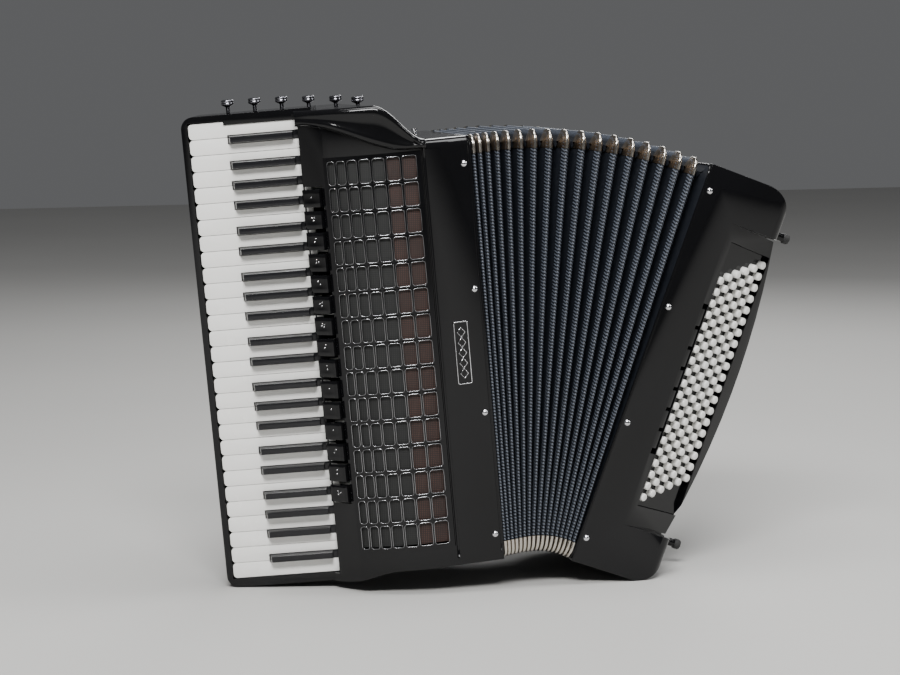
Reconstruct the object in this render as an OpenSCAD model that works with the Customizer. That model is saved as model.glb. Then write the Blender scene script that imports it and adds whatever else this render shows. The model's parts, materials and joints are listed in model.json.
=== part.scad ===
// Piano accordion, 49 piano keys and 120 bass buttons, standing with its bellows fanned open.
// Three working frames: the treble frame (bellows face at x = 0, case bottom at z = 0, front at y = 0),
// the key frame (tilted back with the keyboard) and the bass frame (its own bellows face at x = 0).

/* [Stance] */
// Lean of the treble side when the open instrument stands on the floor
lean = 4.6; // [0:0.1:6]
// Angle between the treble face and the bass face with the bellows fanned open
fan = 25.2; // [20:0.2:26]

/* [Cases] */
// Height of the treble case, the bass case and the bellows
case_h = 495; // [490:1:500]
// Depth of the cases and the bellows, front to back
case_d = 200; // [196:1:206]
// Width of the treble case, from the bellows face to the keyboard
treble_w = 186; // [184:1:188]
// Width of the glossy front strip between the grille and the bellows
strip_w = 52; // [46:1:54]
// Wall of both cases
wall = 6; // [5:0.5:7]
// Thickness of the bass case at its two ends
bass_w = 112; // [108:1:114]
// How far the button housing bows out beyond the bass ends
bass_bow = 33.5; // [32:0.5:34]

/* [Bellows] */
// Number of folds
fold_count = 17; // [17:1:17]
// Space between the two bellows faces when closed
closed_gap = 75; // [72:1:80]
// Thickness of one fold ridge
fold_t = 2.2; // [1.8:0.1:2.4]
// Width of the fold ring, from ridge to valley
fold_band = 20; // [16:1:24]

/* [Keyboard] */
// Number of white keys, from D to D
white_count = 29; // [29:1:29]
// Pitch of the white keys
key_pitch = 18.5; // [18:0.1:18.6]
// Tilt of the keyboard, its free edge further back
key_tilt = 17; // [15:0.5:18]
// Visible length of a white key
white_len = 123; // [118:1:126]
// Visible length of a black key
black_len = 78; // [74:1:82]
// Height of a black key above the white keys
black_rise = 9; // [7:0.5:11]

/* [Bass buttons] */
// Rows of bass buttons along the case
button_rows = 20; // [20:1:20]
// Columns of bass buttons across the board
button_cols = 6; // [6:1:6]
// Diameter of a button
button_d = 9.4; // [8.5:0.1:9.8]
// Spacing of the buttons along a column
button_pitch = 14.37; // [14:0.01:14.5]
// Spacing between columns
column_pitch = 13.8; // [13.2:0.1:14]
// Tilt of the button board, its outer edge further back
board_tilt = 31; // [28:1:33]

/* [Registers] */
// Treble register tabs
register_count = 15; // [15:1:15]
// Chin registers on top of the keyboard
chin_count = 6; // [6:1:6]
// Bass registers
bass_register_count = 7; // [5:1:7]

/* [Grille] */
// Rows of windows
grille_rows = 15; // [15:1:15]
// Columns of windows
grille_cols = 7; // [7:1:7]

/* [Hidden] */
$fn = 48;

// stance
stand_x = 17.05;  // bellows face of the treble side from the middle of the standing instrument
stand_y = -103.7;  // middle of the whole depth, from the chin knobs' heads to the strap brackets
frame_over = 46.5;      // keyboard frame above the case top
frame_under = 13.5;     // keyboard frame below the case bottom
frame_r = 14;           // rounded corners of the keyboard frame
key_x = -184;           // where the white keys go under the register panel
key_y = 70.6;           // depth of the key tops there
frame_left = 8;         // rim of the keyboard frame beyond the key tips
rim = 1.5;              // the rim stands this far above the key tops
frame_deep = 58;        // depth of the keyboard frame
corner_x = key_x - (white_len + frame_left - frame_r) * cos(key_tilt);
corner_z = frame_r - frame_under;
stand_z = frame_r - corner_x * sin(lean) - corner_z * cos(lean) + 0.02;

// bellows fan
pivot_x = 46;           // the fan turns about this axis, just below the bellows
pivot_z = -26.8;
fold_pitch = closed_gap / (fold_count + 1);
bellows_inset = 1;
frame_t = 1.2;

function opening(gap) = min(1, 0.12 + 0.11 * gap);
function total(v, i = 0) = i >= len(v) ? 0 : v[i] + total(v, i + 1);
function opened(n) = n == 0 ? 0 : total([for (g = [0 : n - 1]) opening(g)]);
function share(n) = opened(n) / opened(fold_count + 1);

// keyboard
key_gap = 0.6;
key_t = 13;
key_hidden = 12;
axle_x = 6;
axle_y = 9.5;
axle_r = 1.6;
lever_t = 4.5;
lever_y = 7;
lever_h = 5;
black_w = 9.6;
white_pallet_x = 32;
black_pallet_x = 55;
pallet_w = 15;
pallet_half = 5;
plate_y = 21;
plate_t = 5;
keys_top = case_h + frame_over - frame_left;
keys_bottom = keys_top - white_count * key_pitch;

function key_z(n) = keys_top - (n + 0.5) * key_pitch;
// a sharp stands below white key n unless that key is an E or a B
function has_sharp(n) = n >= 0 && n < white_count - 1 && n % 7 != 1 && n % 7 != 5;
// the outer sharps of each group of two and three stand apart from its middle
pair_shift = 2.6;
trio_shift = 4.6;
function sharp_shift(n) = n % 7 == 0 ? -pair_shift : n % 7 == 6 ? pair_shift :
  n % 7 == 4 ? -trio_shift : n % 7 == 2 ? trio_shift : 0;
function sharp_z(n) = keys_top - (n + 1) * key_pitch + sharp_shift(n);
// their levers stay nearer the joint between the naturals, clear of the neighbours' pallets
lever_shift = 1.8;
function sharp_lever_z(n) = keys_top - (n + 1) * key_pitch + lever_shift * sign(sharp_shift(n));
// filler of the notch that the topmost natural has for a sharp the keyboard ends before
filler_x = -82;
filler_h = 3.9;

// grille: a shell curved about a line behind the front
curve_x = -60;
curve_r = 191.8;
curve_y = 2 + curve_r;
grille_t = 2.5;
grille_left = -163;
grille_z0 = 24;
grille_z1 = 484;
grille_angle = asin((curve_x - grille_left) / curve_r);
row_pitch = 30.3;
row_top = 466;
window_h = 27;
bar_w = 2.2;
// the windows get narrower towards the keyboard
function column_w(c) = 19 - 1.35 * c;
function column_start(c) = c == 0 ? 0 : column_start(c - 1) + column_w(c - 1);
function arc_deg(mm) = mm / curve_r * 180 / PI;
first_arc = 0.8;

// register panel between the keys and the grille
panel_x0 = -188;
panel_y0 = 62;
panel_x1 = grille_left;
panel_y1 = 31;
panel_angle = atan2(panel_y0 - panel_y1, panel_x1 - panel_x0);
panel_len = norm([panel_x1 - panel_x0, panel_y0 - panel_y1]);
register_pitch = 24.6;
register_top = 439;
register_w = 25;
register_h = 20;

chin_y = 14;
strip_edge_r = 12;
SCREW_X = [-62, -38];
screw_y = 96;

// shoulder above the grille
shoulder_x0 = -108;
shoulder_x1 = -48;
shoulder_h = 43;
heel_h = 13.5;
heel_x0 = -186;
heel_x1 = -120;
function ease(t) = (1 - cos(180 * t)) / 2;

// bass side
bass_corner = 36;
bow_z0 = 60;
bow_z1 = 438;
bow_r = 760;
bow_mid = 262;
bow_depth = 80;
bow_gap = 0.6;          // the housing stops just short of the creases
crease_x = 46;
board_depth = 6;
board_t = 3;
board_x0 = 13;
board_x1 = 95;
board_z0 = 86;
board_z1 = 417;
button_x0 = 19;
button_z0 = 370;
button_proud = 1.5;
button_len = 13;
button_travel = 4;

wheel_x = bass_w + 15;
wheel_z = 458;

// bass machine rods
rod_count = 12;
rod_pitch = 7;
rod_y = 40;

module stand() {
  translate([-stand_x, stand_y, stand_z]) rotate([0, -lean, 0]) children();
}

module key_frame() {
  stand() translate([key_x, key_y, 0]) rotate([0, 0, -key_tilt]) children();
}

module fanned(angle) {
  stand() translate([pivot_x, 0, pivot_z]) rotate([0, angle, 0])
    translate([-pivot_x, 0, -pivot_z]) children();
}

module bass_frame() {
  fanned(fan) translate([closed_gap, 0, 0]) children();
}

module board_frame() {
  bass_frame() translate([crease_x, 0, 0]) rotate([0, 0, board_tilt]) children();
}

// a block from corner a to corner b
module block(a, b) {
  translate(a) cube(b - a);
}

// an outline in x and z, pushed back from y0 to y1
module slab_xz(y0, y1) {
  translate([0, y1, 0]) rotate([90, 0, 0]) linear_extrude(y1 - y0) children();
}

module rounded_rect(x0, z0, x1, z1, r) {
  translate([x0 + r, z0]) square([x1 - x0 - 2 * r, z1 - z0]);
  translate([x0, z0 + r]) square([x1 - x0, z1 - z0 - 2 * r]);
  for (x = [x0 + r, x1 - r], z = [z0 + r, z1 - r]) translate([x, z]) circle(r);
}

// ---------- treble side ----------

// front outline of the treble case: shoulder at the top, small heel at the bottom
module treble_outline(inset = 0) {
  steps = 16;
  left = -treble_w - 2 + inset;
  right = inset > 0 ? 1 : 0;
  top = [for (i = [0 : steps]) [shoulder_x0 - inset + (shoulder_x1 - shoulder_x0) * i / steps,
    case_h - inset + shoulder_h * (1 - ease(i / steps))]];
  bottom = [for (i = [steps : -1 : 0]) [heel_x0 + (heel_x1 - heel_x0) * i / steps,
    inset - heel_h * (1 - ease(i / steps))]];
  polygon(concat([[left, case_h - inset + shoulder_h]], top, [[right, case_h - inset], [right, inset]],
    bottom, [[left, inset - heel_h]]));
}

function curve_point(t, inset) = [curve_x - (curve_r - inset) * sin(t), curve_y - (curve_r - inset) * cos(t)];

// plan of the treble case: front strip, curved front, slope for the registers, back
module treble_plan(inset = 0) {
  back = case_d - inset;
  side = -treble_w + 6 + inset;
  edge = inset > 0 ? 1 : 0;
  polygon(concat(
    [[edge, back], [edge, inset], [curve_x, 2 + inset]],
    [for (t = [0 : 2 : grille_angle]) curve_point(t, inset)],
    [[panel_x1 + inset / 2, panel_y1 + 2 + inset], [panel_x0 + inset, panel_y0 + 4 + inset / 2],
     [side, panel_y0 + 20], [-150 + inset, 122], [-150 + inset, back - 16], [-134 + inset, back]]));
}

module treble_case() {
  color("black") stand() difference() {
    intersection() {
      linear_extrude(3 * case_h, center = true) treble_plan();
      slab_xz(-1, case_d + 1) treble_outline();
    }
    intersection() {
      linear_extrude(3 * case_h, center = true) treble_plan(wall);
      slab_xz(-1, case_d + 1) treble_outline(wall);
    }
    // opening under the grille
    block([grille_left + 4, -5, grille_z0 + 4], [-strip_w - 8, 60, grille_z1 - 4]);
    // opening under the register tabs
    translate([panel_x0, panel_y0, 0]) rotate([0, 0, -panel_angle])
      block([6, -8, 82], [panel_len - 6, 16, 452]);
    // opening where the keys come in
    translate([key_x, key_y, 0]) rotate([0, 0, -key_tilt])
      block([-30, -10, keys_bottom - 0.6], [30, 46, keys_top + 0.6]);
    translate([key_x, key_y, 0]) rotate([0, 0, -key_tilt]) {
      // the keyboard frame stands in for the case's left side
      block([-60, -rim - 0.05, -frame_under - 5],
        [key_hidden + 8.05, frame_deep + 0.05, case_h + frame_over + 5]);
      // room for the lowest pallet
      block([28, 4, 0.3], [52, 40, 10]);
      // guides for the stems of the chin registers
      chin_guides();
    }
    // seat of the grille
    curved_shell(curve_r + 3, grille_t + 2.65, grille_z0 - 0.05, grille_z1 + 0.05, -1.53, grille_angle + 0.03);
    // holes for the strap screws
    for (x = SCREW_X) translate([x, screw_y, shoulder_top(x) - 2.1]) cylinder(r = 2.05, h = 10);
    // rounded top edge of the front strip
    translate([-strip_w, strip_edge_r, case_h - strip_edge_r]) difference() {
      block([0, -strip_edge_r - 1, 0], [strip_w + 1, 0, strip_edge_r + 3]);
      translate([-1, 0, 0]) rotate([0, 90, 0]) cylinder(r = strip_edge_r, h = strip_w + 3);
    }
    // opening for the back cover
    block([-126, case_d - 8, 30], [-16, case_d + 1, case_h - 30]);
  }
}

module treble_back_cover() {
  vent_count = 9;
  vent_pitch = 44;
  color("dimgray") stand() difference() {
    block([-125.6, case_d - 3, 30.4], [-16.4, case_d - 0.2, case_h - 30.4]);
    for (i = [0 : vent_count - 1])
      block([-110, case_d - 5, 60 + i * vent_pitch], [-32, case_d + 1, 66 + i * vent_pitch]);
  }
}

module keyboard_frame() {
  far = -(white_len + frame_left);
  color("black") key_frame() difference() {
    slab_xz(-rim, frame_deep) difference() {
      rounded_rect(far, -frame_under, 60, case_h + frame_over, frame_r);
      translate([key_hidden + 8, -frame_under - 1]) square([60, case_h + frame_over + frame_under + 2]);
    }
    // the key bed, less the filler beside the topmost natural
    difference() {
      block([-white_len - 1, -rim - 1, keys_bottom - 0.6], [key_hidden + 9, 26, keys_top + 0.6]);
      block([filler_x, -rim - 2, keys_top - filler_h], [key_hidden + 10, key_t + 1, keys_top + 1]);
    }
    translate([axle_x, axle_y, keys_top - filler_h - 1]) cylinder(r = axle_r + 0.02, h = filler_h + 1.4);
    // hollow behind the key bed
    block([-white_len + 8, 32, 10], [key_hidden + 9, frame_deep - 6, case_h + frame_over - 24]);
    // rounded long edge
    translate([far + 6, frame_deep - 6, 0]) difference() {
      block([-7, 0, -frame_under - 1], [0, 7, case_h + frame_over + 1]);
      translate([0, 0, -frame_under - 2]) cylinder(r = 6, h = case_h + frame_over + frame_under + 4);
    }
    chin_guides();
  }
}

module key_axle() {
  color("silver") key_frame() translate([axle_x, axle_y, keys_bottom - 0.3])
    cylinder(r = axle_r, h = keys_top - keys_bottom + 0.6);
}

module white_key(n) {
  z = key_z(n);
  half = (key_pitch - key_gap) / 2;
  tip_r = 4.5;
  notch = black_w / 2 + 0.5;
  difference() {
    union() {
      slab_xz(0, key_t) union() {
        translate([-white_len + tip_r, z - half]) square([white_len - tip_r + key_hidden, 2 * half]);
        translate([-white_len, z - half + tip_r]) square([tip_r + 1, 2 * half - 2 * tip_r]);
        for (s = [-1, 1]) translate([-white_len + tip_r, z + s * (half - tip_r)]) circle(tip_r);
      }
      lever(z, white_pallet_x);
    }
    if (has_sharp(n))
      block([-black_len - 1, -1, z - 20], [key_hidden + 1, key_t + 1, sharp_z(n) + notch]);
    if (has_sharp(n - 1))
      block([-black_len - 1, -1, sharp_z(n - 1) - notch], [key_hidden + 1, key_t + 1, z + 20]);
    if (n == 0)
      block([filler_x - 0.3, -1, keys_top - filler_h - 0.3], [key_hidden + 1, key_t + 1, z + 20]);
    axle_bore(z);
  }
}

module black_key(n) {
  z = sharp_z(n);
  difference() {
    union() {
      intersection() {
        block([-black_len, -black_rise, z - black_w / 2], [key_hidden, key_t, z + black_w / 2]);
        // sides taper towards the playing face
        translate([-black_len, 0, z]) rotate([0, 90, 0]) linear_extrude(black_len + key_hidden)
          polygon([[-black_w / 2, key_t], [-black_w / 2, 0], [-3.3, -black_rise], [3.3, -black_rise],
            [black_w / 2, 0], [black_w / 2, key_t]]);
      }
      lever(sharp_lever_z(n), black_pallet_x);
    }
    // sloping front end and the step under the register panel
    translate([-black_len, 0, z - 10]) rotate([0, 0, 20]) block([-12, -20, 0], [0, 1, 20]);
    block([-3, -black_rise - 1, z - 10], [key_hidden + 1, 0, z + 10]);
    axle_bore(z);
  }
}

// lever arm, pallet and felt behind the axle
module lever(z, x) {
  block([key_hidden - 1, lever_y, z - lever_t / 2], [x + pallet_w, lever_y + lever_h, z + lever_t / 2]);
  block([x, lever_y + lever_h - 1, z - pallet_half], [x + pallet_w, plate_y - 0.4, z + pallet_half]);
}

module axle_bore(z) {
  translate([axle_x, axle_y, z - 20]) cylinder(r = axle_r + 0.35, h = 40);
}

module naturals(step) {
  color("ivory") key_frame() for (n = [step : 7 : white_count - 1]) white_key(n);
}

module sharps(step) {
  color("black") key_frame() for (n = [step : 7 : white_count - 2]) if (has_sharp(n)) black_key(n);
}

module key_d() { naturals(0); }
module key_e() { naturals(1); }
module key_f() { naturals(2); }
module key_g() { naturals(3); }
module key_a() { naturals(4); }
module key_b() { naturals(5); }
module key_c() { naturals(6); }
module key_d_sharp() { sharps(0); }
module key_f_sharp() { sharps(2); }
module key_g_sharp() { sharps(3); }
module key_a_sharp() { sharps(4); }
module key_c_sharp() { sharps(6); }

// aluminium plate with one air hole under each pallet
module foundation_plate() {
  color("gainsboro") key_frame() difference() {
    block([22, plate_y, keys_bottom + 1], [78, plate_y + plate_t, keys_top - 3]);
    for (n = [0 : white_count - 1])
      block([white_pallet_x + 3, plate_y - 1, key_z(n) - 3.5],
        [white_pallet_x + pallet_w - 3, plate_y + plate_t + 1, key_z(n) + 3.5]);
    for (n = [0 : white_count - 2]) if (has_sharp(n))
      block([black_pallet_x + 3, plate_y - 1, sharp_lever_z(n) - 3.5],
        [black_pallet_x + pallet_w - 3, plate_y + plate_t + 1, sharp_lever_z(n) + 3.5]);
    // trimmed to the inside of the treble case
    outside_treble();
  }
}

// what lies beyond the inner walls of the treble case at its top and bottom, in the key frame
module outside_treble() {
  rotate([0, 0, key_tilt]) translate([-key_x, -key_y, 0]) difference() {
    block([-treble_w - 20, 0, -40], [0, case_d, case_h + 80]);
    slab_xz(-1, case_d + 1) treble_outline(wall + 0.3);
  }
}

// wooden blocks that carry the reeds, one cell to each note
module treble_reed_blocks() {
  cells = 24;
  cell_pitch = key_pitch;
  color("burlywood") key_frame() for (x = [27, 54]) difference() {
    block([x, plate_y + plate_t + 0.2, 16], [x + 17, plate_y + plate_t + 50, 16 + cells * cell_pitch]);
    for (i = [0 : cells - 1], s = [0, 1])
      block([x + (s == 0 ? -1 : 13), plate_y + plate_t + 8, 19 + i * cell_pitch],
        [x + (s == 0 ? 4 : 18), plate_y + plate_t + 46, 31 + i * cell_pitch]);
  }
}

module curved_shell(r, t, z0, z1, a0, a1) {
  points = 24;
  translate([curve_x, curve_y, z0]) linear_extrude(z1 - z0) polygon(concat(
    [for (i = [0 : points]) let (a = a0 + (a1 - a0) * i / points) [-r * sin(a), -r * cos(a)]],
    [for (i = [points : -1 : 0]) let (a = a0 + (a1 - a0) * i / points)
      [-(r - t) * sin(a), -(r - t) * cos(a)]]));
}

module treble_grille() {
  color("black") stand() difference() {
    curved_shell(curve_r + 0.4, grille_t, grille_z0, grille_z1, -1.5, grille_angle);
    for (c = [0 : grille_cols - 1]) {
      a0 = arc_deg(first_arc + column_start(c) + bar_w / 2);
      a1 = arc_deg(first_arc + column_start(c) + column_w(c) - bar_w / 2);
      half = (a1 - a0) / 2 * PI / 180 * curve_r;
      for (r = [0 : grille_rows - 1])
        translate([curve_x, curve_y, row_top - r * row_pitch]) rotate([0, 0, -(a0 + a1) / 2])
          block([-half, -curve_r - 6, -window_h / 2], [half, -curve_r + 8, window_h / 2]);
    }
  }
}

module grille_screen() {
  color("saddlebrown") stand()
    curved_shell(curve_r - grille_t - 0.2, 0.8, grille_z0 + 6, grille_z1 - 6, 0, grille_angle - 1);
}

// bellows pins, strap screws on the top and brackets for the shoulder straps
module treble_fittings() {
  color("silver") stand() {
    for (k = [0 : 3]) pin(-7, 31 + k * (case_h - 62) / 3);
    for (x = SCREW_X) translate([x, screw_y, shoulder_top(x) - 2]) {
      cylinder(r = 2, h = 6);
      translate([0, 0, 6]) cylinder(r = 3.6, h = 2.5);
    }
    for (z = [60, case_h - 60]) difference() {
      union() {
        block([-26, case_d, z - 12], [-14, case_d + 2, z + 12]);
        block([-24, case_d + 1, z - 4], [-16, case_d + 10, z + 4]);
      }
      translate([-20, case_d + 6, z - 5]) cylinder(r = 1.8, h = 10);
    }
  }
}

function shoulder_top(x) = case_h + shoulder_h * (1 - ease((x - shoulder_x0) / (shoulder_x1 - shoulder_x0)));

// domed pin head on the front face, at x and height z of its case
module pin(x, z) {
  translate([x, 0, z]) rotate([90, 0, 0]) intersection() {
    translate([0, 0, -1.6]) sphere(r = 4.2);
    cylinder(r = 5, h = 5);
  }
}

function register_z(k) = register_top - k * register_pitch;

module register_frame() {
  stand() translate([panel_x0, panel_y0, 0]) rotate([0, 0, -panel_angle]) children();
}

module treble_registers() {
  tab_x = (panel_len - register_w) / 2;
  color("black") register_frame() for (k = [0 : register_count - 1]) {
    block([tab_x, -5, register_z(k) - register_h / 2], [tab_x + register_w, 3, register_z(k) + register_h / 2]);
    block([tab_x + 8, 2, register_z(k) - 2], [tab_x + 12, 12, register_z(k) + 2]);
  }
}

// the last knob sits closer to its neighbour, and the heads follow a shallow arc
function chin_x(k) = -77 + 31.2 * k - (k == chin_count - 1 ? 6 : 0);
function chin_drop(k) = 0.34 * k * k;

module chin_guides() {
  for (k = [0 : chin_count - 1]) translate([chin_x(k), chin_y, keys_top - 1]) cylinder(r = 2.8, h = 30);
}

module chin_registers() {
  color("dimgray") key_frame() for (k = [0 : chin_count - 1])
    translate([chin_x(k), chin_y, case_h + frame_over - 3]) {
      cylinder(r = 2.3, h = 14 - chin_drop(k));
      translate([0, 0, 12 - chin_drop(k)]) cylinder(r = 5.5, h = 1.5);
      translate([0, 0, 13 - chin_drop(k)]) cylinder(r = 7.2, h = 6);
    }
}

// ---------- bellows ----------

// rectangular ring from x0 to x1, inset from the case outline
module ring(x0, x1, inset, band) {
  difference() {
    block([x0, inset, inset], [x1, case_d - inset, case_h - inset]);
    block([x0 - 1, inset + band, inset + band], [x1 + 1, case_d - inset - band, case_h - inset - band]);
  }
}

module treble_bellows_frame() {
  color("black") stand() ring(0, frame_t, 0, 24);
}

module bass_bellows_frame() {
  color("black") bass_frame() ring(-frame_t, 0, 0, 24);
}

module fold(n) {
  color("midnightblue") fanned(fan * share(n)) translate([fold_pitch * n, 0, 0])
    ring(-fold_t / 2, fold_t / 2, bellows_inset, fold_band);
}

// cloth and card leaves in the gaps between the ridges
module bellows_leaves() {
  leaf_t = 0.5;
  color("dimgray") for (g = [0 : fold_count])
    fanned(fan * (share(g) + share(g + 1)) / 2) translate([fold_pitch * (g + 0.5), 0, 0])
      ring(-leaf_t / 2, leaf_t / 2, bellows_inset + 6, fold_band - 6);
}

module fold_01() { fold(1); }
module fold_02() { fold(2); }
module fold_03() { fold(3); }
module fold_04() { fold(4); }
module fold_05() { fold(5); }
module fold_06() { fold(6); }
module fold_07() { fold(7); }
module fold_08() { fold(8); }
module fold_09() { fold(9); }
module fold_10() { fold(10); }
module fold_11() { fold(11); }
module fold_12() { fold(12); }
module fold_13() { fold(13); }
module fold_14() { fold(14); }
module fold_15() { fold(15); }
module fold_16() { fold(16); }
module fold_17() { fold(17); }

// ---------- bass side ----------

module bass_outline(inset = 0) {
  r = bass_corner - inset;
  left = inset > 0 ? -2 : 0;
  translate([left, inset]) square([bass_w - inset - r - left, case_h - 2 * inset]);
  translate([left, inset + r]) square([bass_w - inset - left, case_h - 2 * inset - 2 * r]);
  for (z = [inset + r, case_h - inset - r]) translate([bass_w - inset - r, z]) circle(r);
}

// bowed front housing of the button board
module bow_outline(inset = 0) {
  intersection() {
    translate([bass_w + bass_bow - bow_r, bow_mid]) circle(bow_r - inset, $fn = 360);
    translate([20, bow_z0 + bow_gap + inset])
      square([bass_w + bass_bow, bow_z1 - bow_z0 - 2 * bow_gap - 2 * inset]);
  }
}

module bass_body(inset = 0) {
  edge_r = 14 - inset / 2;
  intersection() {
    slab_xz(inset, case_d - inset) bass_outline(inset);
    translate([0, 0, -1]) linear_extrude(case_h + 2) {
      translate([-3, inset]) square([bass_w - inset - edge_r + 3, case_d - 2 * inset]);
      translate([-3, inset + edge_r]) square([bass_w - inset + 3, case_d - 2 * inset - 2 * edge_r]);
      for (y = [inset + edge_r, case_d - inset - edge_r])
        translate([bass_w - inset - edge_r, y]) circle(edge_r);
    }
  }
  slab_xz(inset, bow_depth - inset) bow_outline(inset);
}

module board_wedge(depth, z0, z1) {
  translate([crease_x, 0, 0]) rotate([0, 0, board_tilt])
    block([-depth, -90, z0], [140, depth, z1]);
}

module bass_case() {
  color("black") bass_frame() difference() {
    bass_body();
    board_wedge(0, bow_z0, bow_z1);
    difference() {
      bass_body(wall);
      board_wedge(wall + 4, bow_z0 - wall, bow_z1 + wall);
    }
    translate([crease_x, 0, 0]) rotate([0, 0, board_tilt]) {
      // opening for the button plate, the trench with the bass registers
      block([board_x0 - 0.4, -1, board_z0 - 0.4], [board_x1 + 0.4, 20, board_z1 + 0.4]);
      block([1.6, -1, 150], [11.6, 20, 338]);
    }
    // slot for the air button
    translate([bass_w - 12, 92, 380]) rotate([0, 90, 0]) cylinder(r = 8.4, h = 20);
  }
}

function button_x(c) = button_x0 + column_pitch * c;
function button_z(c, r) = button_z0 + button_pitch / 2 * c - button_pitch * r;

module bass_button_plate() {
  color("black") board_frame() difference() {
    block([board_x0, board_depth, board_z0], [board_x1, board_depth + board_t, board_z1]);
    for (c = [0 : button_cols - 1], r = [0 : button_rows - 1])
      translate([button_x(c), board_depth - 1, button_z(c, r)]) rotate([-90, 0, 0])
        cylinder(r = button_d / 2 + 0.5, h = board_t + 2, $fn = 32);
  }
}

// one column of buttons with their plungers
module button_column(c) {
  dome = 0.9;
  color("white") board_frame() for (r = [0 : button_rows - 1])
    translate([button_x(c), -button_proud, button_z(c, r)]) rotate([-90, 0, 0]) {
      translate([0, 0, dome]) cylinder(d = button_d, h = button_len - dome, $fn = 32);
      cylinder(d = button_d - 2 * dome, h = 1, $fn = 32);
      cylinder(r = 1.2, h = button_len + 12, $fn = 16);
    }
}

module buttons_counterbass() { button_column(0); }
module buttons_fundamental() { button_column(1); }
module buttons_major() { button_column(2); }
module buttons_minor() { button_column(3); }
module buttons_seventh() { button_column(4); }
module buttons_diminished() { button_column(5); }

// machine rods that the plungers work, on three ribs
module bass_mechanism() {
  color("silver") board_frame() {
    for (i = [0 : rod_count - 1])
      translate([14 + i * rod_pitch, rod_y, board_z0 + 4]) cylinder(r = 1.5, h = board_z1 - board_z0 - 8, $fn = 16);
    for (z = [board_z0 + 4, (board_z0 + board_z1) / 2, board_z1 - 7])
      block([9, rod_y - 4, z], [91, rod_y + 4, z + 3]);
  }
}

module bass_reed_blocks() {
  cells = 12;
  cell_pitch = 30;
  color("burlywood") bass_frame() for (y = [96, 142]) difference() {
    block([30, y, 60], [84, y + 20, 60 + cells * cell_pitch]);
    for (i = [0 : cells - 1], s = [0, 1])
      block([34, y + (s == 0 ? -1 : 15), 64 + i * cell_pitch], [80, y + (s == 0 ? 5 : 21), 86 + i * cell_pitch]);
  }
}

module bass_fittings() {
  color("silver") bass_frame() {
    for (k = [0 : 3]) pin(7, 31 + k * (case_h - 62) / 3);
    // lugs that carry the strap wheel
    for (y = [119, 141]) difference() {
      block([bass_w, y, 452], [bass_w + 22, y + 4, 464]);
      translate([wheel_x, y - 1, wheel_z]) rotate([-90, 0, 0]) cylinder(r = 2.3, h = 6);
    }
  }
}

module bass_feet() {
  color("dimgray") bass_frame() for (z = [51, case_h - 48], y = [68, 182]) translate([bass_w, y, z])
    rotate([0, 90, 0]) {
      cylinder(r = 5, h = 31);
      translate([0, 0, 31]) cylinder(r = 6.2, h = 8);
    }
}

// leather strap for the left hand, bowed away from the cover
strap_y0 = 96;
strap_y1 = 160;
strap_z0 = 96;
strap_z1 = 440;
strap_sag = 32;
strap_t = 4;
strap_half = (strap_z1 - strap_z0) / 2;
strap_r = (strap_half * strap_half + strap_sag * strap_sag) / (2 * strap_sag);

module bass_strap() {
  cx = bass_w + 0.3 + strap_sag - strap_r;
  color("saddlebrown") bass_frame() slab_xz(strap_y0, strap_y1) intersection() {
    translate([cx, (strap_z0 + strap_z1) / 2]) difference() {
      circle(strap_r + strap_t, $fn = 180);
      circle(strap_r, $fn = 180);
    }
    translate([bass_w + 0.3, strap_z0 - 12]) square([60, strap_z1 - strap_z0 + 24]);
  }
}

module strap_wheel() {
  color("dimgray") bass_frame() translate([wheel_x, 123.4, wheel_z]) rotate([-90, 0, 0]) {
    cylinder(r = 12, h = 17.2);
    translate([0, 0, -4]) cylinder(r = 2, h = 25.2);
  }
}

module air_button() {
  color("white") bass_frame() translate([bass_w - 14, 92, 380]) rotate([0, 90, 0]) {
    cylinder(r = 2.5, h = 16);
    translate([0, 0, 8]) cylinder(r = 8, h = 14);
  }
}

module bass_registers() {
  pitch = 25.6;
  first = 332;
  color("black") board_frame() for (k = [0 : bass_register_count - 1])
    block([2.2, 1, first - k * pitch - 22], [11, 12, first - k * pitch]);
}

treble_case();
treble_back_cover();
keyboard_frame();
key_axle();
foundation_plate();
treble_reed_blocks();
treble_grille();
grille_screen();
treble_fittings();
key_d();
key_e();
key_f();
key_g();
key_a();
key_b();
key_c();
key_d_sharp();
key_f_sharp();
key_g_sharp();
key_a_sharp();
key_c_sharp();
treble_registers();
chin_registers();
treble_bellows_frame();
bellows_leaves();
fold_01();
fold_02();
fold_03();
fold_04();
fold_05();
fold_06();
fold_07();
fold_08();
fold_09();
fold_10();
fold_11();
fold_12();
fold_13();
fold_14();
fold_15();
fold_16();
fold_17();
bass_bellows_frame();
bass_case();
bass_button_plate();
bass_mechanism();
bass_reed_blocks();
bass_fittings();
bass_feet();
bass_strap();
strap_wheel();
air_button();
bass_registers();
buttons_counterbass();
buttons_fundamental();
buttons_major();
buttons_minor();
buttons_seventh();
buttons_diminished();
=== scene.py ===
import json
import math
import bmesh
import bpy
import numpy as np
from mathutils import Matrix, Vector

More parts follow.
